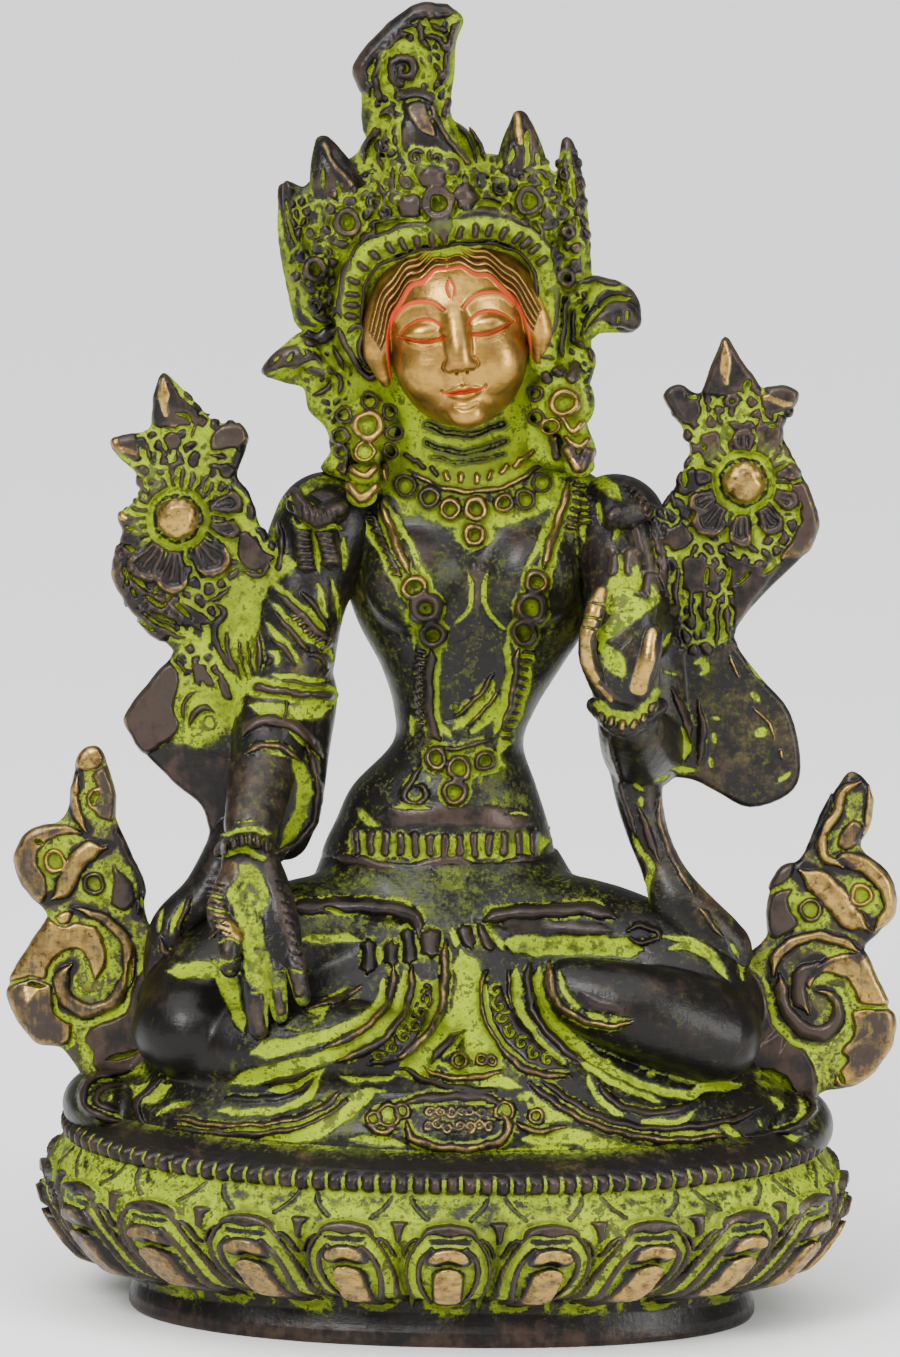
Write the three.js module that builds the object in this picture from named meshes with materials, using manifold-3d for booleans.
import * as THREE from 'three';
import { mergeVertices } from 'three/addons/utils/BufferGeometryUtils.js';
import Module from 'manifold-3d';

// A cast brass figure seated cross-legged on an oval double-lotus plinth, one solid.
// Millimetres, +Z up, the front faces -Y, the origin is under the middle of the casting. The figure
// leans a little on its plinth.

// Plinth sizes
const footLength = 104.5;
const footDepth = 64;
const footHeight = 8.5;
const footLip = 2.2;
const lotusLength = 131.5;
const lotusDepth = 90;
const rimLength = 125;
const rimDepth = 86;
const rimHeight = 31;
const rimFall = 2.2;
const shoulderRise = 4.5;
const shoulderRun = 9;
const petalPitch = 16;
const petalStand = 2.4;
const rimRoll = 2.4;
const plinthOffset = -0.5;

// Figure, whose pose and proportions are scaled to its height from the hem to the top, and how far
// that hem hangs over the plinth's shoulder
const figureHeight = 191.5;
const hemDrop = 11.1;
const figureLean = 1.1;
const figureOffset = 0.5;

// Cast reliefs beside the figure
const flameThickness = 7;
const sprayThickness = 6.5;
const ornamentThickness = 6;
const edgeRound = 1.3;

// How finely the whole casting is faceted
const mostFacets = 9600;

const colours = {
  brass: new THREE.Color(0.2, 0.16, 0.11),
};

// The figure is laid out on its front view. seen() turns a place in that view, (across, up), and a
// depth behind the middle of the plinth into a point. The view is taken from in front and above.
const viewpoint = new THREE.Vector3(0, -1089, 258);
function seen(across, up, depth) {
  const share = 1 + depth / -viewpoint.y;
  return new THREE.Vector3(
    viewpoint.x + (across - viewpoint.x) * share,
    depth,
    viewpoint.z + (up - viewpoint.z) * share
  );
}

const front = new THREE.Vector3(0, -1, 0);
const wasm = await Module();
wasm.setup();

// Solids
function solidOf(geometry) {
  const bare = geometry.clone();
  for (const name of Object.keys(bare.attributes)) {
    if (name !== 'position') bare.deleteAttribute(name);
  }
  const merged = mergeVertices(bare, 1e-4);
  return new wasm.Manifold(new wasm.Mesh({
    numProp: 3,
    vertProperties: new Float32Array(merged.attributes.position.array),
    triVerts: new Uint32Array(merged.index.array),
  }));
}

function join(geometries) {
  return geometries.map(solidOf).reduce((whole, next) => whole.add(next));
}

function geometryOf(solid) {
  const mesh = solid.getMesh();
  const geometry = new THREE.BufferGeometry();
  geometry.setAttribute('position', new THREE.BufferAttribute(mesh.vertProperties, 3));
  geometry.setIndex(new THREE.BufferAttribute(mesh.triVerts, 1));
  return geometry;
}

function pointsOf(geometry) {
  const at = geometry.attributes.position;
  return Array.from({ length: at.count }, (_, i) => new THREE.Vector3().fromBufferAttribute(at, i));
}

function facesOf(geometry) {
  const index = geometry.index.array;
  return Array.from({ length: index.length / 3 }, (_, i) => [...index.slice(3 * i, 3 * i + 3)]);
}

function meshOf(points, faces) {
  const place = new Map();
  const kept = [];
  for (const v of faces.flat()) {
    if (place.has(v)) continue;
    place.set(v, place.size);
    kept.push(points[v].x, points[v].y, points[v].z);
  }
  const geometry = new THREE.BufferGeometry();
  geometry.setAttribute('position', new THREE.Float32BufferAttribute(kept, 3));
  geometry.setIndex(faces.flat().map((v) => place.get(v)));
  return geometry;
}

// The casting's outer skin, without the sealed pockets that joined forms leave between them
function outerShell(geometry) {
  const faces = facesOf(geometry);
  const owner = Array.from({ length: geometry.attributes.position.count }, (_, i) => i);
  const find = (v) => {
    while (owner[v] !== v) v = owner[v] = owner[owner[v]];
    return v;
  };
  for (const [a, b, c] of faces) {
    owner[find(a)] = find(b);
    owner[find(b)] = find(c);
  }
  const shells = new Map();
  for (const face of faces) {
    const shell = find(face[0]);
    if (!shells.has(shell)) shells.set(shell, []);
    shells.get(shell).push(face);
  }
  const points = pointsOf(geometry);
  return [...shells.values()].map((list) => meshOf(points, list))
    .reduce((best, shell) => (enclosed(shell) > enclosed(best) ? shell : best));
}

// The same closed skin with fewer facets: the edges whose loss moves the surface least are drawn
// together, as long as no facet turns over and every edge keeps exactly two facets
function fewerFacets(geometry, most) {
  const points = pointsOf(geometry);
  let faces = facesOf(geometry);
  const squares = points.map(() => new Array(10).fill(0));
  const normalOf = (a, b, c) => new THREE.Vector3().subVectors(b, a)
    .cross(new THREE.Vector3().subVectors(c, a));
  for (const face of faces) {
    const [a, b, c] = face.map((v) => points[v]);
    const normal = normalOf(a, b, c);
    const area = normal.length();
    normal.normalize();
    const plane = [normal.x, normal.y, normal.z, -normal.dot(a)];
    let k = 0;
    for (let i = 0; i < 4; i++) {
      for (let j = i; j < 4; j++) {
        for (const v of face) squares[v][k] += area * plane[i] * plane[j];
        k += 1;
      }
    }
  }
  const error = (q, p) => q[0] * p.x * p.x + 2 * q[1] * p.x * p.y + 2 * q[2] * p.x * p.z
    + 2 * q[3] * p.x + q[4] * p.y * p.y + 2 * q[5] * p.y * p.z + 2 * q[6] * p.y
    + q[7] * p.z * p.z + 2 * q[8] * p.z + q[9];
  while (faces.length > most) {
    const around = new Map();
    for (const face of faces) {
      for (const v of face) {
        if (!around.has(v)) around.set(v, []);
        around.get(v).push(face);
      }
    }
    const edges = [];
    for (const face of faces) {
      for (let i = 0; i < 3; i++) {
        const [a, b] = [face[i], face[(i + 1) % 3]];
        if (a > b) continue;
        const q = squares[a].map((value, k) => value + squares[b][k]);
        const choices = [points[a], points[b], points[a].clone().lerp(points[b], 0.5)];
        const costs = choices.map((p) => error(q, p));
        const cost = Math.min(...costs);
        edges.push({ a, b, q, cost: cost + 1e-4 * points[a].distanceTo(points[b]),
          p: choices[costs.indexOf(cost)].clone() });
      }
    }
    edges.sort((one, other) => one.cost - other.cost);
    const used = new Set();
    const gone = new Set();
    let drawn = 0;
    for (const { a, b, q, p } of edges.slice(0, Math.ceil(edges.length / 4))) {
      if (faces.length - gone.size <= most) break;
      if (used.has(a) || used.has(b)) continue;
      const near = (v) => new Set(around.get(v).flat());
      const nearA = near(a);
      const shared = [...near(b)].filter((v) => nearA.has(v) && v !== a && v !== b);
      if (shared.length !== 2) continue;
      const both = around.get(a).filter((face) => face.includes(b));
      const moved = [...around.get(a), ...around.get(b)].filter((face) => !both.includes(face));
      const turned = moved.some((face) => {
        const old = face.map((v) => points[v]);
        const now = face.map((v) => (v === a || v === b ? p : points[v]));
        const [was, is] = [normalOf(...old), normalOf(...now)];
        return was.dot(is) < 0.35 * was.length() * is.length() || is.length() < 1e-3;
      });
      if (turned) continue;
      for (const face of both) gone.add(face);
      for (const face of moved) {
        for (const v of face) used.add(v);
        const place = face.indexOf(b);
        if (place >= 0) face[place] = a;
      }
      for (const v of [a, b, ...shared]) used.add(v);
      points[a].copy(p);
      squares[a] = q;
      drawn += 1;
    }
    faces = faces.filter((face) => !gone.has(face));
    if (!drawn) break;
  }
  return meshOf(points, faces);
}

// A closed skin through rings of points, with a flat end on the first and the last ring
function skin(rings) {
  const count = rings[0].length;
  const points = rings.flat();
  const middle = (ring) => ring.reduce((sum, p) => sum.add(p), new THREE.Vector3())
    .divideScalar(count);
  points.push(middle(rings[0]), middle(rings.at(-1)));
  const faces = [];
  const last = (rings.length - 1) * count;
  for (let i = 0; i < count; i++) {
    const j = (i + 1) % count;
    for (let base = 0; base < last; base += count) {
      faces.push(base + i, base + j, base + count + i);
      faces.push(base + j, base + count + j, base + count + i);
    }
    faces.push(points.length - 2, j, i);
    faces.push(points.length - 1, last + i, last + j);
  }
  const geometry = new THREE.BufferGeometry();
  geometry.setAttribute('position',
    new THREE.Float32BufferAttribute(points.flatMap((p) => [p.x, p.y, p.z]), 3));
  geometry.setIndex(faces);
  return enclosed(geometry) > 0 ? geometry : turnedOut(geometry);
}

function enclosed(geometry) {
  const at = geometry.attributes.position;
  const [a, b, c] = [new THREE.Vector3(), new THREE.Vector3(), new THREE.Vector3()];
  let volume = 0;
  for (let i = 0; i < geometry.index.count; i += 3) {
    a.fromBufferAttribute(at, geometry.index.getX(i));
    b.fromBufferAttribute(at, geometry.index.getX(i + 1));
    c.fromBufferAttribute(at, geometry.index.getX(i + 2));
    volume += a.dot(b.cross(c)) / 6;
  }
  return volume;
}

function turnedOut(geometry) {
  const index = Array.from(geometry.index.array);
  for (let i = 0; i < index.length; i += 3) [index[i], index[i + 1]] = [index[i + 1], index[i]];
  geometry.setIndex(index);
  return geometry;
}

// A body of level slices, each [centre x, centre y, height, half width, half depth]
function slices(list, sides) {
  return skin(list.map(([x, y, z, a, b]) => Array.from({ length: sides }, (_, i) => {
    const turn = (i / sides) * Math.PI * 2;
    return new THREE.Vector3(x + a * Math.sin(turn), y - b * Math.cos(turn), z);
  })));
}

// A rounded limb through points, with half widths and half thicknesses along its length
function limb(points, widths, depths = widths, { sides = 8, steps = 4, facing = front } = {}) {
  const curve = new THREE.CatmullRomCurve3(points, false, 'centripetal');
  const sample = (list, t) => {
    const place = t * (list.length - 1);
    const i = Math.min(Math.floor(place), list.length - 2);
    return THREE.MathUtils.lerp(list[i], list[i + 1], place - i);
  };
  const ring = (t, along, share) => {
    const tangent = curve.getTangent(t).normalize();
    const across = new THREE.Vector3().crossVectors(tangent, facing).normalize();
    const outward = new THREE.Vector3().crossVectors(across, tangent).normalize();
    const [w, d] = [sample(widths, t) * share, sample(depths, t) * share];
    const centre = curve.getPoint(t).addScaledVector(tangent, along * Math.min(sample(widths, t),
      sample(depths, t)));
    return Array.from({ length: sides }, (_, i) => {
      const turn = ((i + 0.5) / sides) * Math.PI * 2;
      return centre.clone().addScaledVector(across, w * Math.cos(turn))
        .addScaledVector(outward, d * Math.sin(turn));
    });
  };
  const rings = [ring(0, -0.75, 0.55)];
  for (let i = 0; i <= steps; i++) rings.push(ring(i / steps, 0, 1));
  rings.push(ring(1, 0.75, 0.55));
  return skin(rings);
}

function ball(centre, [rx, ry, rz], around = 10, up = 6, lean = 0) {
  const geometry = new THREE.SphereGeometry(1, around, up);
  geometry.rotateX(Math.PI / 2);
  geometry.scale(rx, ry, rz);
  geometry.rotateY(THREE.MathUtils.degToRad(lean));
  geometry.translate(centre.x, centre.y, centre.z);
  return geometry;
}

function ring(centre, radius, wire, around = 8) {
  const geometry = new THREE.TorusGeometry(radius, wire, 4, around);
  geometry.rotateX(Math.PI / 2);
  geometry.translate(centre.x, centre.y, centre.z);
  return geometry;
}

// A cast relief: an outline in the front view, with rounded edges, from a depth forward
function relief(outline, depth, thickness) {
  const points = outline.map(([across, up]) => {
    const p = seen(across, up, depth - thickness / 2);
    return new THREE.Vector2(p.x, p.z);
  });
  const geometry = new THREE.ExtrudeGeometry(new THREE.Shape(points), {
    depth: thickness - 2 * edgeRound,
    bevelThickness: edgeRound,
    bevelSize: edgeRound,
    bevelOffset: -edgeRound,
    bevelSegments: 1,
  });
  geometry.rotateX(Math.PI / 2);
  geometry.translate(0, depth - edgeRound, 0);
  return geometry;
}

// A raised scroll in the front view, winding inwards
function scroll([across, up], depth, outer, inner, start, turns, width, sides = 4) {
  const steps = Math.round(turns * 9);
  const points = Array.from({ length: steps + 1 }, (_, i) => {
    const turn = THREE.MathUtils.degToRad(start) + (i / steps) * turns * Math.PI * 2;
    const radius = THREE.MathUtils.lerp(outer, inner, i / steps);
    return seen(across + radius * Math.cos(turn), up + radius * Math.sin(turn), depth);
  });
  return limb(points, [width, width * 0.7], [1.8, 1.6], { sides, steps });
}

// Plinth: a flared foot, a lotus whose bulge rises to a rolled rim, and a shoulder up to the seat
const plinthSides = 44;
const fullness = 2.15;
const seatTop = rimHeight + shoulderRise;
const lotusFoot = { length: footLength - 2 * footLip, depth: footDepth - 2 * footLip };

// A point on an oval; what is high on the plinth tilts with the rim, which falls to the front
function ovalPoint(turn, length, depth, z, tilt = 1) {
  const round = (value) => Math.sign(value) * Math.abs(value) ** (2 / fullness);
  const x = (length / 2) * round(Math.sin(turn));
  const y = -(depth / 2) * round(Math.cos(turn));
  const rise = tilt * Math.tan(THREE.MathUtils.degToRad(rimFall)) * y;
  return new THREE.Vector3(x + plinthOffset, y, z + rise);
}

function oval(z, length, depth, tilt = 1) {
  return Array.from({ length: plinthSides }, (_, i) => ovalPoint(
    (i / plinthSides) * Math.PI * 2, length, depth, z, tilt));
}

// The lotus between its foot (0) and the rim (1), a quarter round that fills out low down
const lotusTop = rimHeight - rimRoll;
function lotusPoint(turn, share, out = 0) {
  const swell = Math.sin(Math.min(share * 1.25, 1) * Math.PI / 2) ** 0.8
    - 0.12 * Math.max(share - 0.8, 0) / 0.2;
  const grow = (foot, full) => THREE.MathUtils.lerp(foot, full, swell) + 2 * out;
  return ovalPoint(turn, grow(lotusFoot.length, lotusLength - 2 * petalStand),
    grow(lotusFoot.depth, lotusDepth - 2 * petalStand),
    THREE.MathUtils.lerp(footHeight, lotusTop, share), share);
}

function lotusRow(share) {
  return Array.from({ length: plinthSides }, (_, i) => lotusPoint(
    (i / plinthSides) * Math.PI * 2, share));
}

function plinthBody() {
  const roll = rimRoll / 2;
  return skin([
    oval(0, footLength, footDepth, 0),
    oval(footHeight * 0.2, footLength, footDepth, 0),
    oval(footHeight * 0.5, footLength - footLip, footDepth - footLip, 0),
    ...[0, 0.12, 0.3, 0.55, 0.8, 1].map(lotusRow),
    oval(rimHeight - rimRoll * 0.8, rimLength + roll, rimDepth + roll),
    oval(rimHeight, rimLength + roll, rimDepth + roll),
    oval(rimHeight + roll, rimLength - rimRoll, rimDepth - rimRoll),
    oval(rimHeight + shoulderRise * 0.8, rimLength - shoulderRun, rimDepth - shoulderRun),
    oval(seatTop, rimLength - 2 * shoulderRun, rimDepth - 2 * shoulderRun),
  ]);
}

// Places spaced evenly round the lotus, as angles, the first at the front
function evenly(pitch) {
  const steps = 720;
  const turns = Array.from({ length: steps + 1 }, (_, i) => (i / steps) * Math.PI * 2);
  const points = turns.map((turn) => ovalPoint(turn, lotusLength, lotusDepth, 0, 0));
  const run = [0];
  for (let i = 1; i <= steps; i++) run.push(run[i - 1] + points[i].distanceTo(points[i - 1]));
  const count = Math.round(run[steps] / pitch);
  return Array.from({ length: count }, (_, k) => {
    const want = (k / count) * run[steps];
    const i = Math.max(run.findIndex((length) => length > want), 1);
    return THREE.MathUtils.lerp(turns[i - 1], turns[i],
      (want - run[i - 1]) / (run[i] - run[i - 1]));
  });
}

// A leaf that lies on the lotus: rows of [share of the height, share of the width, stand]
function leaf(turn, halfTurn, rows, sink = 2) {
  return skin(rows.map(([share, width, stand]) => [
    lotusPoint(turn - halfTurn * width, share, -sink),
    lotusPoint(turn - halfTurn * width, share, 0.2 * stand),
    lotusPoint(turn - halfTurn * width * 0.6, share, 0.85 * stand),
    lotusPoint(turn, share, stand),
    lotusPoint(turn + halfTurn * width * 0.6, share, 0.85 * stand),
    lotusPoint(turn + halfTurn * width, share, 0.2 * stand),
    lotusPoint(turn + halfTurn * width, share, -sink),
  ]));
}

// Each petal is an arched leaf with a tongue at its foot
function petals() {
  const turns = evenly(petalPitch);
  return turns.flatMap((turn, i) => {
    const next = i + 1 < turns.length ? turns[i + 1] : Math.PI * 2;
    const half = (next - turn) * 0.49;
    return [
      leaf(turn, half, [[0.02, 0.78, petalStand], [0.4, 0.94, petalStand],
        [0.7, 0.8, petalStand], [0.88, 0.36, petalStand * 0.7]]),
      leaf(turn, half * 0.42, [[0.02, 0.9, petalStand * 1.9], [0.34, 0.95, petalStand * 1.9],
        [0.46, 0.4, petalStand * 1.6]]),
    ];
  });
}

// Lap: the crossed legs under cloth
function lap() {
  return [
    slices([
      [-0.5, -3, 30, 57, 31],
      [-0.5, -3, 36, 58, 31],
      [-0.5, -2, 41, 52, 28],
      [-0.5, -1, 48, 47, 24],
      [-0.5, 2, 56, 43, 21],
      [-0.5, 5, 62, 36, 19],
      [-0.5, 6, 66, 28, 17],
      [-1, 6, 70, 22, 15],
    ], 24),
    // thighs
    limb([seen(-12, 64, 0), seen(-30, 60, -4), seen(-43, 50, -9)], [10, 9, 9], [9, 9, 9],
      { sides: 10, steps: 4 }),
    limb([seen(10, 64, 0), seen(28, 59, -4), seen(43, 50, -9)], [10, 9, 9], [9, 9, 9],
      { sides: 10, steps: 4 }),
    // knees
    ball(seen(-43, 47.5, -13), [9.8, 10.5, 8.8], 12, 8),
    limb([seen(22, 52, -20), seen(32, 49, -19), seen(42.5, 46.5, -13)], [6, 8, 8.8], [6, 8.5, 10],
      { sides: 12, steps: 4 }),
    // shins
    limb([seen(-40, 44, -16), seen(-20, 44, -22), seen(-2, 42, -25)], [6, 6, 4], [6, 6, 4],
      { sides: 8, steps: 3 }),
    // rolled cloth on the thighs
    limb([seen(-28, 67, -4), seen(-17, 67.2, -8), seen(-6, 66, -9)], [1.8, 2, 1.4], undefined,
      { sides: 6, steps: 4 }),
    limb([seen(5, 65.2, -9), seen(16, 66, -9), seen(27, 65, -6), seen(33, 63, -6)], [1.4, 2, 1.6],
      undefined, { sides: 6, steps: 4 }),
  ];
}

// The skirt's hem turned over the ends of the plinth
function clothEnds() {
  return [
    ball(seen(-57, 34.6, -1), [7.6, 15, 6], 8, 6),
    ball(seen(56.6, 30.6, -1), [7, 15, 6.4], 8, 6),
  ];
}

function torso() {
  return [
    slices([
      [-1, 6, 64, 24, 15],
      [-2, 6, 72.5, 22, 14.5],
      [-1.5, 6, 80.5, 17.6, 13],
      [-1, 6, 87, 15.5, 12],
      [1.2, 6, 94, 10.9, 10],
      [2.4, 6.5, 100, 11.8, 10],
      [3.5, 6.5, 107, 15, 11],
      [3.8, 7, 114, 19, 12],
      [3.6, 7.5, 124, 23, 12.5],
      [3.4, 8, 132, 26, 12],
      [2.8, 8, 138, 22, 10],
      [2.2, 8, 142, 13, 8.6],
      [2, 7.5, 146, 8.8, 8],
      [1.7, 6, 156, 8.5, 8],
    ], 18),
    ball(seen(-5.5, 122, -1.5), [8.6, 6.5, 9], 10, 6),
    ball(seen(12.5, 122.5, -1.5), [8.4, 6.5, 9], 10, 6),
  ];
}

// Head, in its own frame: across, back and up from the middle of the head
const headLean = -7.6;
const headPlace = seen(1.2, 162.6, -2);
function onHead(x, y, z) {
  return new THREE.Vector3(x, y, z)
    .applyAxisAngle(new THREE.Vector3(0, 1, 0), THREE.MathUtils.degToRad(headLean))
    .add(headPlace);
}

const faceHalf = 12.6;
const faceHeight = 30;
function head() {
  const thirds = faceHeight / 3;
  const chin = -faceHeight / 2;
  const eyes = chin + faceHeight * 0.55;
  const nose = chin + thirds;
  const mouth = chin + thirds * 0.66;
  const parts = [
    // skull, jaw and chin
    ball(onHead(0, 0, 3), [faceHalf, 12.6, 13], 12, 8, headLean),
    ball(onHead(0, -1.4, -4.4), [faceHalf * 0.84, 11, 11], 12, 8, headLean),
    // nose
    limb([onHead(0, -12.6, eyes + 1), onHead(0, -14.2, nose + 1.6)], [0.9, 1.6], [1, 1.6],
      { sides: 6, steps: 1 }),
    // lips
    limb([onHead(-2.8, -11.8, mouth), onHead(0, -12.8, mouth - 0.2), onHead(2.8, -11.8, mouth)],
      [0.8, 1, 0.8], [0.8, 1.1, 0.8], { sides: 4, steps: 2 }),
  ];
  for (const side of [-1, 1]) {
    // brow and lowered eyelid
    parts.push(limb([onHead(side * 1.8, -12.9, eyes + 3), onHead(side * 5.4, -12.2, eyes + 4.4),
      onHead(side * 9.2, -9.6, eyes + 3)], [0.6, 0.6], [0.8, 0.8], { sides: 4, steps: 2 }));
    parts.push(ball(onHead(side * 5, -11, eyes), [3, 1.9, 1.5], 6, 4, headLean));
    // long pierced ear
    parts.push(limb([onHead(side * 12.6, -2, 3), onHead(side * 13.6, -3, -6),
      onHead(side * 13, -3, -12)], [2, 2], [2.6, 2.2], { sides: 6, steps: 2 }));
  }
  return parts;
}

function crown() {
  const parts = [
    // hair and crown wall behind the leaves
    slices([
      [1.6, 8, 137, 18, 8],
      [1.8, 7, 148, 19, 9],
      [0.6, 6, 158, 20.5, 11],
      [-0.8, 5, 168, 22, 12.5],
      [-1.8, 3.5, 176, 22.5, 13.5],
      [-2.4, 2, 181, 22.6, 13.5],
      [-3, 2, 187, 20, 12.5],
      [-3.6, 3, 191.5, 12, 10],
    ], 16),
    // topknot
    ball(seen(-4.8, 190, 5), [10.6, 9, 9.5], 12, 6),
    // brow band round the face
    limb([seen(-15.8, 160, -5), seen(-16.3, 169, -7), seen(-12.5, 176, -10), seen(-2, 180, -12.5),
      seen(8.5, 180, -11.5), seen(14.5, 175.5, -9), seen(15.7, 167, -6), seen(15, 158, -4)],
    [2.2, 2.2], [2.4, 2.4], { sides: 6, steps: 12 }),
  ];
  const leaves = [
    { foot: [-4, 186], tip: [-5.6, 202.4], half: 6.4, depth: -10.5 },
    { foot: [-17, 181], tip: [-20.8, 195], half: 5.4, depth: -7 },
    { foot: [12, 184], tip: [11.3, 199], half: 5, depth: -8 },
    { foot: [-22, 166], tip: [-27.4, 188], half: 4.4, depth: -1.5 },
    { foot: [19, 172], tip: [19, 195.5], half: 4.6, depth: -2 },
  ];
  for (const { foot, tip, half, depth } of leaves) {
    const low = seen(foot[0], foot[1], depth);
    const high = seen(tip[0], tip[1], depth + 2);
    high.lerp(low, 0.08);
    parts.push(limb([low, low.clone().lerp(high, 0.55), high], [half, half * 0.82, half * 0.36],
      [3, 2.6, 1.6], { sides: 6, steps: 3 }));
  }
  const flowers = [
    { place: [-1.9, 184], radius: 2.1, depth: -13.6 },
    { place: [-16.8, 180.6], radius: 1.8, depth: -10.4 },
    { place: [12.9, 184.3], radius: 1.8, depth: -11 },
    { place: [-22.2, 173.2], radius: 1.5, depth: -7.5 },
    { place: [19, 172.2], radius: 1.3, depth: -6.5 },
  ];
  for (const { place: [across, up], radius, depth } of flowers) {
    parts.push(ring(seen(across, up, depth), radius, 0.9));
    parts.push(ball(seen(across, up, depth + 2.2), [radius + 1.6, 2.2, radius + 1.6], 8, 4));
  }
  return parts;
}

function topOrnament() {
  const parts = [relief([
    [-13, 194], [-13.4, 199], [-15.3, 205.5], [-12.4, 210], [-8.5, 213.6], [-6, 215.5], [-3.5, 216],
    [-0.5, 216], [2.1, 213.6], [0.7, 210], [0.6, 205], [-0.2, 199], [1, 194],
  ], 6, ornamentThickness)];
  parts.push(scroll([-7, 206], 0, 5.6, 1.6, 120, 1.1, 1));
  parts.push(limb([seen(-11.5, 202, 0.4), seen(-12.8, 206, 0.4), seen(-9, 211.5, 0.4),
    seen(-3, 214, 0.4)], [0.9, 0.9], [1.3, 1.3], { sides: 4, steps: 5 }));
  return parts;
}

// Ribbons beside the ears and the rosettes hung from them
function earOrnaments() {
  const parts = [
    relief([[-20, 163.5], [-24, 163], [-27, 161], [-30, 158], [-30.6, 155.6], [-27, 154.4],
      [-24, 153.6], [-23.2, 150], [-20.5, 147.2], [-19.6, 143.5], [-21, 140], [-12, 140],
      [-12, 163]], 8, 10),
    relief([[17, 172], [22.5, 172], [27, 171], [29.8, 169.4], [31, 165.5], [29.6, 162.8],
      [24.2, 162.6], [22.9, 160.6], [23.8, 158], [22.7, 153.5], [22.4, 148], [23.4, 142.5],
      [13, 142], [13, 160]], 8, 10),
    limb([seen(-29, 156.5, -2), seen(-25, 158.8, -3), seen(-21.5, 158, -3.4), seen(-20, 154.5, -3)],
      [1.3, 1.6], [1.5, 1.5], { sides: 4, steps: 4 }),
    limb([seen(29.3, 164.4, -2), seen(28, 168.5, -3), seen(24, 168, -3.4), seen(22, 163.5, -3)],
      [1.6, 1.3], [1.5, 1.5], { sides: 4, steps: 4 }),
  ];
  const rosettes = [
    { eye: [-13.5, 147.5], drops: [[-14, 143.2], [-14, 139.5], [-14.4, 136.2]] },
    { eye: [18.7, 151.3], drops: [[19.8, 147], [20.7, 144.2], [21.3, 141]] },
  ];
  for (const { eye, drops } of rosettes) {
    parts.push(ball(seen(eye[0], eye[1], -3), [4.6, 3.4, 4.6], 10, 4));
    parts.push(ring(seen(eye[0], eye[1], -6.2), 2.2, 0.8));
    for (const [across, up] of drops) {
      parts.push(ball(seen(across, up, -4), [2.3, 3, 1.8], 6, 4));
    }
  }
  return parts;
}

function arms() {
  return [
    // right arm, hanging: shoulder to elbow, elbow to wrist
    limb([seen(-20, 131, 6), seen(-24.6, 120, 4), seen(-27.4, 106, 2)], [9, 7.6, 7.6], [9, 9, 8.6],
      { sides: 10, steps: 4 }),
    limb([seen(-28, 102, 1), seen(-30.5, 92, -6), seen(-33, 79, -16)], [7.4, 5.6, 4.2],
      [7.4, 5.4, 4], { sides: 8, steps: 3 }),
    // its sleeve, open below the elbow
    limb([seen(-27, 103, 3), seen(-28.6, 95, 2), seen(-29, 86, 1), seen(-27.4, 79.4, 0)],
      [8.4, 8.6, 7.8, 4], [8, 7, 5, 3], { sides: 10, steps: 4 }),
    // left arm, raised: shoulder to elbow, elbow to wrist
    limb([seen(27, 131, 6), seen(30.5, 117, 4), seen(32, 100, 2)], [8.6, 8.6, 8], [9, 9, 8],
      { sides: 10, steps: 4 }),
    limb([seen(32, 94, 0), seen(31, 95, -9), seen(29.5, 98.5, -19)], [6.6, 6, 5], [7, 5.6, 4.6],
      { sides: 8, steps: 3, facing: new THREE.Vector3(0, 0, 1) }),
    // bracelets
    limb([seen(-37.4, 77.4, -14), seen(-33.6, 79.2, -20.5), seen(-28.8, 76.6, -14.5)], [1.3, 1.3],
      [2, 2], { sides: 4, steps: 4 }),
    limb([seen(24.2, 101, -18), seen(28.6, 97.4, -25), seen(34.2, 101, -19)], [1.5, 1.5], [2, 2],
      { sides: 4, steps: 4 }),
    // bundles of cloth on the shoulders
    limb([seen(-24.6, 134.6, -2), seen(-21, 132.4, -4.6), seen(-18.6, 133.6, -4.6)], [2.2, 2.2],
      [3, 3], { sides: 6, steps: 3 }),
    limb([seen(-24.4, 130.4, -2.4), seen(-23.6, 124.4, -3.6)], [1.7, 1.7], [2.6, 2], { sides: 6,
      steps: 1 }),
    limb([seen(-20.6, 130.4, -3.4), seen(-19.4, 125.4, -4.6)], [1.9, 1.7], [2.6, 2], { sides: 6,
      steps: 1 }),
    limb([seen(26, 135, -1), seen(27, 132.5, -4), seen(30.5, 133.4, -3)], [2, 2.2], [3, 3],
      { sides: 6, steps: 3 }),
    limb([seen(30.5, 130, -2), seen(32, 124, -2)], [2.4, 2], [2.6, 2], { sides: 6, steps: 1 }),
  ];
}

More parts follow.
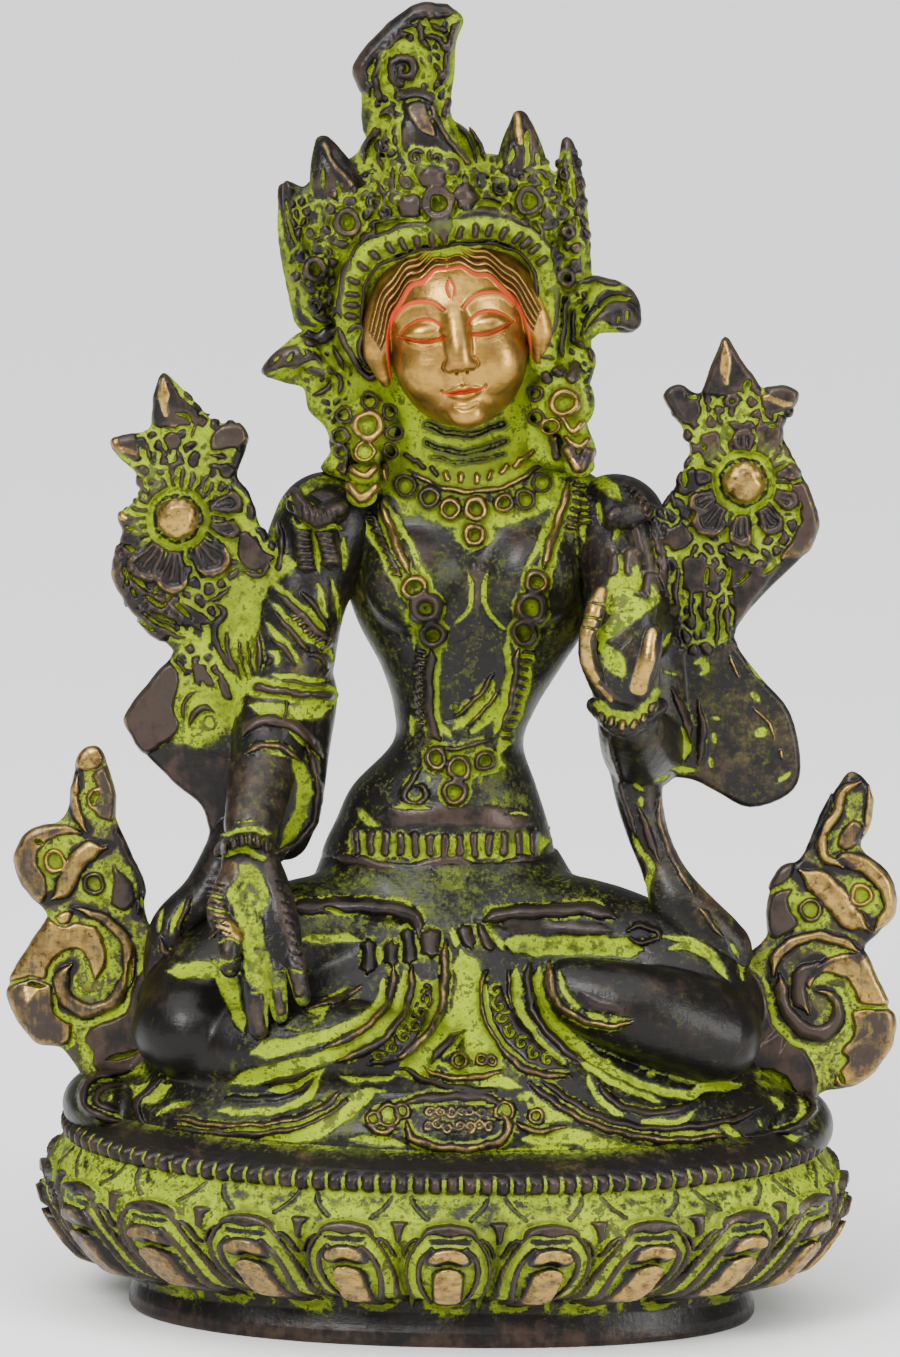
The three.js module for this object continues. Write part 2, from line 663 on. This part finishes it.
function rightHand() {
  const parts = [
    limb([seen(-33.4, 77, -17), seen(-32, 69, -22), seen(-30, 61, -25)], [4, 5.6, 5.4],
      [3, 3.2, 2.6], { sides: 8, steps: 3 }),
    // thumb meeting the first finger
    limb([seen(-36.4, 72, -20), seen(-38.4, 66.6, -24), seen(-36.8, 62.6, -27)], [2, 1.7, 2],
      [2, 1.8, 2], { sides: 6, steps: 3 }),
    limb([seen(-34.8, 64, -25), seen(-36.6, 60, -28), seen(-36.4, 57.2, -27)], [1.8, 1.7], undefined,
      { sides: 6, steps: 2 }),
  ];
  const fingers = [
    { root: [-32.6, 60], tip: [-31.8, 47], half: 2 },
    { root: [-29.4, 60], tip: [-28.2, 49.4], half: 1.8 },
    { root: [-26.6, 61], tip: [-24.4, 52], half: 1.6 },
  ];
  for (const { root, tip, half } of fingers) {
    parts.push(limb([seen(root[0], root[1], -25.5),
      seen((root[0] + tip[0]) / 2, (root[1] + tip[1]) / 2, -27.5),
      seen(tip[0], tip[1], -27)], [half, half, half * 0.85], undefined, { sides: 6, steps: 3 }));
  }
  return parts;
}

function leftHand() {
  return [
    limb([seen(29.4, 99, -20), seen(28.8, 107, -22.5), seen(28.6, 116, -22)], [4.4, 5.4, 5],
      [3.4, 3, 2.4], { sides: 8, steps: 3 }),
    // first finger with the thumb, three fingers behind and the heel of the hand
    limb([seen(25, 104, -23), seen(22.6, 110, -26), seen(23.8, 116.6, -26), seen(25, 119.6, -24.5)],
      [1.7, 1.4, 1.6], [2, 1.7, 1.7], { sides: 6, steps: 4 }),
    limb([seen(31, 104, -23.6), seen(32.6, 108.6, -24.4), seen(33.4, 113, -23.4)], [2, 1.7], [2, 1.7],
      { sides: 6, steps: 3 }),
    limb([seen(26.6, 116, -21), seen(27.6, 125, -17)], [1.6, 1.4], undefined, { sides: 6, steps: 2 }),
    limb([seen(29.2, 116, -20.6), seen(30, 126, -16)], [1.7, 1.4], undefined, { sides: 6, steps: 2 }),
    limb([seen(32, 114, -20), seen(33.2, 122, -16)], [1.6, 1.4], undefined, { sides: 6, steps: 2 }),
    // mass that ties the open hand back to the arm
    limb([seen(29.5, 112, -20), seen(31, 114, -8), seen(31, 116, 2)], [4.4, 5, 6], [5, 6, 7],
      { sides: 8, steps: 2, facing: new THREE.Vector3(0, 0, 1) }),
  ];
}

// Scarf from the raised arm down to the thigh, and the scarf end by the right hand
function scarves() {
  return [
    limb([seen(31, 95, -2), seen(31, 87, -3), seen(32.6, 80, -3.5), seen(35, 74, -5),
      seen(37.8, 68, -7), seen(44, 60, -7)], [5.2, 3.8, 3.2, 3.2, 4.8, 6], [5, 4, 3.2, 3, 3.4, 4],
    { sides: 8, steps: 7 }),
    limb([seen(-36, 80, 0), seen(-40.5, 70, -2), seen(-46, 64, -4), seen(-47.5, 57, -5)],
      [3, 3.6, 3.4], [5, 5, 4], { sides: 8, steps: 4 }),
  ];
}

// Lotus sprays beside the shoulders
function rightSpray() {
  return [
    relief([
      [-21, 129], [-28.5, 128.6], [-31, 130.5], [-33, 136.6], [-35, 139], [-33.5, 143.5],
      [-33.2, 146.2], [-35, 147.8], [-38.5, 148], [-42, 151.6], [-46.6, 156], [-48.3, 153.5],
      [-49, 147.6], [-51.5, 146], [-55.2, 145], [-54.6, 142.6], [-51.3, 139.4], [-51, 136],
      [-54.2, 132.6], [-53.4, 129.6], [-55.3, 123.6], [-53.3, 119], [-50.5, 114.4], [-46, 111],
      [-45.9, 109.4], [-49, 105.8], [-53.2, 100.2], [-52.4, 96.6], [-50, 92.8], [-45, 88],
      [-41, 84.6], [-39.8, 80], [-40.4, 73], [-34, 74], [-29, 84], [-24, 100],
    ], 4, sprayThickness),
    ...rosette([-44.7, 132.2], 12),
    // tip leaves
    limb([seen(-45.2, 147, -2.6), seen(-46.4, 153, -2.6)], [1.9, 1.2], [1.8, 1.4], { sides: 4,
      steps: 1 }),
    limb([seen(-49, 144.4, -2.6), seen(-53.6, 144, -2.6)], [1.3, 0.9], [1.8, 1.4], { sides: 4,
      steps: 1 }),
    limb([seen(-38.6, 145.4, -2.6), seen(-34.8, 146, -2.6)], [1.5, 1], [1.8, 1.4], { sides: 4,
      steps: 1 }),
    // buds and stems under the flower
    limb([seen(-52, 118, -2.6), seen(-44.4, 116, -2.6), seen(-39.4, 111, -2.6)], [1.2, 1.5],
      [1.6, 1.8], { sides: 4, steps: 3 }),
    limb([seen(-37.8, 117.4, -2.6), seen(-38, 111.4, -2.6), seen(-35, 105, -2.6)], [1.5, 1.2],
      [1.8, 1.6], { sides: 4, steps: 3 }),
    ball(seen(-40.4, 107.4, -2.4), [1.6, 1.8, 2.8], 6, 4, -35),
    ball(seen(-36.8, 104, -2.4), [1.5, 1.8, 2.8], 6, 4, 10),
    scroll([-40, 98.6], -2.6, 4.4, 2, 80, 0.75, 1.2),
  ];
}

function leftSpray() {
  return [
    relief([
      [24, 130], [31.6, 134.6], [34.6, 134], [36.6, 137], [39.2, 143], [38.4, 146.4], [35.2, 152.4],
      [37.4, 154], [41, 152.9], [42.6, 157.4], [45, 161.8], [47.2, 158.8], [50.4, 153.9], [55, 154],
      [56.8, 151.8], [54.2, 147], [55.4, 143.8], [59, 136.5], [60.3, 131], [58.4, 126.6],
      [52, 120.2], [47.6, 115], [47, 111.6], [51, 106], [56, 100], [57.8, 91], [55.8, 86.4],
      [49.4, 84.2], [44, 86.8], [40, 88.8], [35, 89.6], [28, 92], [28, 110],
    ], 4, sprayThickness),
    ...rosette([48.2, 138.2], 12),
    limb([seen(45.2, 153, -2.6), seen(45.1, 159.4, -2.6)], [1.9, 1.1], [1.8, 1.4], { sides: 4,
      steps: 1 }),
    limb([seen(50.8, 151.4, -2.6), seen(55.2, 152.4, -2.6)], [1.4, 1], [1.8, 1.4], { sides: 4,
      steps: 1 }),
    limb([seen(40.6, 149.6, -2.6), seen(36.9, 152, -2.6)], [1.5, 1], [1.8, 1.4], { sides: 4,
      steps: 1 }),
    // stem bundle
    limb([seen(43, 124, -2.6), seen(44.2, 113, -2.6)], [4.6, 2.6], [1.8, 1.6], { sides: 6,
      steps: 1 }),
    limb([seen(55, 124.6, -2.6), seen(48.6, 117.6, -2.6), seen(45.6, 112, -2.6)], [1.3, 1.1],
      [1.6, 1.4], { sides: 4, steps: 2 }),
    // plain scarf lobe with a rolled edge
    ball(seen(46, 97, -1.5), [8, 3, 10], 8, 6, -25),
    limb([seen(38, 106, -2), seen(39.5, 98, -3), seen(39, 91, -2.6)], [1, 1.1], [2, 2], { sides: 4,
      steps: 3 }),
  ];
}

// An open lotus: a round boss with petals about it
function rosette([across, up], count) {
  const parts = [
    ball(seen(across, up, -2.4), [3.5, 3.6, 3.5], 12, 6),
    ring(seen(across, up, -2.6), 4.6, 0.8, 12),
  ];
  const reach = 7.4;
  for (let i = 0; i < count; i++) {
    const turn = (i / count) * Math.PI * 2;
    const place = seen(across + reach * Math.cos(turn), up + reach * Math.sin(turn), -2.2);
    parts.push(ball(place, [2.7, 1.9, 1.9], 5, 4, -THREE.MathUtils.radToDeg(turn)));
  }
  return parts;
}

// Flame scrolls at the ends of the plinth
function rightFlame() {
  return [
    relief([
      [-60, 34], [-62, 40.5], [-65, 44.2], [-68, 44.7], [-71, 48.2], [-73.4, 53.2], [-70.6, 58.6],
      [-66.6, 65.2], [-69, 69], [-71.2, 71.7], [-71.7, 76], [-70, 79.6], [-64.6, 81.9],
      [-62.8, 85], [-62.2, 89], [-60.8, 93], [-57.8, 93.9], [-55.6, 88], [-55.5, 83.4], [-53, 77],
      [-51, 71.4], [-50, 65], [-47, 60], [-47, 48], [-50, 36],
    ], 4, flameThickness),
    scroll([-61, 56.2], -3, 8.4, 1.8, -250, 1.45, 2.4),
    limb([seen(-70.6, 77, -3), seen(-66.6, 79.8, -3), seen(-60.6, 79.4, -3)], [1.5, 1.1], [1.6, 1.4],
      { sides: 4, steps: 3 }),
    limb([seen(-66.4, 69, -3), seen(-62.2, 74, -3), seen(-57, 77.4, -3)], [1.3, 1.7], [1.6, 1.6],
      { sides: 4, steps: 3 }),
    limb([seen(-61.8, 82.6, -3), seen(-61.6, 88, -3), seen(-58.8, 92, -3)], [1, 1.4], [1.6, 1.6],
      { sides: 4, steps: 3 }),
    ring(seen(-59, 71.4, -3), 2, 0.8),
    ring(seen(-65.4, 75.2, -3), 1.8, 0.8),
    limb([seen(-69.8, 55.6, -3), seen(-67.6, 61, -3), seen(-63, 64.6, -3)], [2, 2.2], [1.6, 1.6],
      { sides: 4, steps: 3 }),
  ];
}

function leftFlame() {
  return [
    relief([
      [58, 30], [61.2, 36], [65, 37], [69, 39.2], [72.4, 43.6], [73.4, 47.4], [71.4, 53.6],
      [68.4, 60], [71.4, 64], [73.6, 69], [72.2, 73.6], [67.8, 77.6], [69.2, 82.4], [69.1, 87.6],
      [66.2, 90.3], [63.6, 87.2], [60, 80], [57.7, 75.6], [54.2, 73.2], [52.4, 68.4], [52.3, 62.6],
      [49, 57], [48, 46], [50, 34],
    ], 4, flameThickness),
    scroll([60.4, 52], -3, 9, 1.8, 75, 1.4, 2.4),
    limb([seen(58.6, 74, -3), seen(63, 70.4, -3), seen(67.6, 65, -3)], [1.5, 1.8], [1.6, 1.6],
      { sides: 4, steps: 3 }),
    limb([seen(67.6, 88, -3), seen(63.4, 84.4, -3), seen(61.2, 79, -3), seen(64, 75.4, -3),
      seen(71.4, 72.4, -3)], [1.2, 1.4, 1.6], [1.6, 1.6], { sides: 4, steps: 5 }),
    ring(seen(59.4, 67, -3), 2.4, 0.9),
    ring(seen(68, 69.6, -3), 2, 0.8),
    limb([seen(57.4, 57, -3), seen(62, 59.4, -3), seen(67.6, 58.4, -3), seen(71.4, 50, -3)],
      [1.3, 1.8, 2], [1.6, 1.6], { sides: 4, steps: 4 }),
  ];
}

// Ornament laid on the body where a line of sight from the front meets it
function layer(body) {
  const target = new THREE.Mesh(geometryOf(body), new THREE.MeshBasicMaterial({
    side: THREE.DoubleSide,
  }));
  const caster = new THREE.Raycaster();
  return (across, up, proud = 0) => {
    const aim = seen(across, up, 0).sub(viewpoint).normalize();
    caster.set(viewpoint, aim);
    const hit = caster.intersectObject(target)[0];
    const place = hit ? hit.point : seen(across, up, 0);
    return place.clone().addScaledVector(aim, -proud);
  };
}

function jewellery(lay) {
  const strand = (list, half, steps, proud = 0.1) => limb(
    list.map(([across, up]) => lay(across, up, proud)), [half, half], [1.1, 1.1],
    { sides: 4, steps });
  const link = ([across, up, radius]) => ring(lay(across, up, 0.2), radius, 0.7, 7);
  return [
    // neck creases and collar
    strand([[-3.4, 147.6], [2.4, 145.2], [8.6, 147.8]], 0.6, 4),
    strand([[-3.8, 144.4], [2.4, 142.8], [8.8, 144.8]], 0.5, 4),
    strand([[-6.4, 140], [-2, 137.6], [3.6, 136.8], [10, 138.2], [15.2, 141.4]], 0.7, 6),
    // ring chain with its pendant
    ...[[-7.3, 137.7, 1.4], [-3.4, 135.7, 1.3], [0, 133.6, 1.4], [4.1, 133.8, 1.7],
      [8.8, 134.8, 1.3], [12.4, 135.4, 1.3], [15, 138, 1.2], [4, 129.4, 1.6]].map(link),
    // long strands over the breasts with their rings
    strand([[-11, 134.6], [-9, 128], [-6.4, 122], [-5.8, 120.6]], 0.8, 4),
    strand([[19.4, 138], [17.4, 130], [14.6, 123], [14.2, 121.6]], 0.8, 4),
    ...[[-5.9, 120.5, 1.5], [-4, 117.4, 2.2], [-2.8, 112.8, 1.7],
      [14, 121.7, 1.4], [13.2, 117.6, 2.1], [12.2, 113.2, 1.5]].map(link),
    strand([[-3, 111], [-4.2, 104], [-2.6, 95]], 1.1, 4),
    strand([[11.4, 111], [10.4, 104], [6.6, 94]], 1.1, 4),
    ...[[-2.4, 92.5, 1.3], [1.4, 90.8, 1.5], [5.6, 92, 1.3], [0.8, 87, 1.5]].map(link),
    strand([[-6.2, 91], [-7.4, 87.4], [-5.6, 85.8], [-4.2, 87.2]], 0.9, 4),
    // folds of the belly cloth
    strand([[0, 97.4], [3.4, 100], [7.6, 105]], 0.8, 3),
    strand([[3.6, 96.6], [6.6, 99], [8.6, 102]], 0.6, 3),
    // belts
    strand([[-15.4, 81], [-8, 83], [0, 83.4], [8, 82.2], [13.6, 82.4]], 0.9, 6),
    strand([[-15.2, 78.4], [-8, 77.4], [0, 78.4], [11.6, 79]], 1.1, 6),
    strand([[-14.6, 75.6], [-8, 73.8], [0, 75.4], [6, 73.4], [12, 75.6]], 0.7, 6),
  ];
}

function hems(lay) {
  const band = (list, half, steps = 5, proud = 0.2) => limb(
    list.map(([across, up]) => lay(across, up, proud)), [half, half], [1.5, 1.5],
    { sides: 4, steps });
  return [
    // bands that sweep from the waist round the right knee
    band([[-3.6, 61], [-4.6, 53], [-8.4, 45], [-16, 40.6]], 1.9),
    band([[-8, 60], [-8.4, 54], [-13.4, 46.6], [-20, 42]], 1),
    band([[-1.4, 60], [-1, 52], [-4.4, 44.6]], 0.9, 4),
    band([[-12.4, 60.6], [-13, 54.6], [-20, 47.6], [-32, 45]], 1.1),
    // and round the left one
    band([[6.8, 57.4], [8, 50], [12, 43.6], [19.6, 39]], 1.9),
    band([[10.2, 57], [11.6, 50.6], [18, 43.4], [26, 37.4], [36, 34.4]], 1, 6),
    band([[12.8, 57.6], [15, 50.6], [22, 42.8], [31, 37.4]], 0.9),
    band([[15.8, 57.6], [19.4, 50], [27, 47.6]], 1, 4),
    // centre tab
    band([[-4, 41.4], [1.6, 38.8], [8.6, 40.2]], 0.9, 4),
    band([[2.4, 46.8], [-2, 43.6], [-4.6, 40.8]], 0.8, 3),
    // loops of the skirt under the knees
    band([[-45, 38], [-38, 37.6], [-28, 39.4], [-20, 41]], 1.3, 4),
    band([[-39, 33.8], [-30, 34.4], [-21.6, 38.6]], 1.3, 4),
    band([[-56, 37], [-57.6, 33], [-50, 31], [-36, 31], [-24, 33], [-16, 38]], 1.4, 8),
    band([[22.8, 38], [26, 34], [30, 32.4], [37, 32.4], [41, 34]], 1.2, 5),
    band([[14, 37.4], [22, 31.8], [34, 29], [48, 29.2], [56.4, 31.8], [57.2, 34.4]], 1.4, 8),
    // rug edge with its lobes under the crossed legs
    band([[-17, 34.6], [-12.4, 30.4], [-7, 31.4], [-4.4, 34.4]], 1.2, 4),
    band([[-7.4, 30], [-1.6, 27.2], [5, 27.2], [9.6, 29.6], [8.4, 33.4]], 1.4, 6),
    band([[9.8, 32], [14, 29.8], [19.4, 31]], 1.2, 3),
    // fingers of cloth gathered at the waist
    ...[-13, -10, -6.8, -3, 2.6, 5.4].map((across) => band([[across, 62.6], [across, 58]], 1, 1)),
  ];
}

// The whole casting
function figure() {
  const body = join([
    ...lap(), ...clothEnds(), ...torso(), ...head(), ...crown(), ...topOrnament(), ...earOrnaments(),
    ...arms(), ...rightHand(), ...leftHand(), ...scarves(),
    ...rightSpray(), ...leftSpray(), ...rightFlame(), ...leftFlame(),
  ]);
  const lay = layer(body);
  return body.add(join([...jewellery(lay), ...hems(lay)]));
}

function castFigure() {
  const placed = geometryOf(figure());
  placed.computeBoundingBox();
  const { min, max } = placed.boundingBox;
  const share = figureHeight / (max.z - min.z);
  placed.translate(0, 0, -min.z);
  placed.scale(share, share, share);
  placed.rotateY(-THREE.MathUtils.degToRad(figureLean));
  placed.translate(figureOffset, 0, seatTop - hemDrop);
  const plinth = join([plinthBody(), ...petals()]);
  return fewerFacets(outerShell(geometryOf(plinth.add(solidOf(placed)))), mostFacets);
}

const material = new THREE.MeshStandardMaterial({
  color: colours.brass,
  metalness: 0.7,
  roughness: 0.45,
});
const tara = new THREE.Mesh(castFigure(), material);
tara.name = 'tara_figure';

const model = new THREE.Group();
model.add(tara);
export default model;
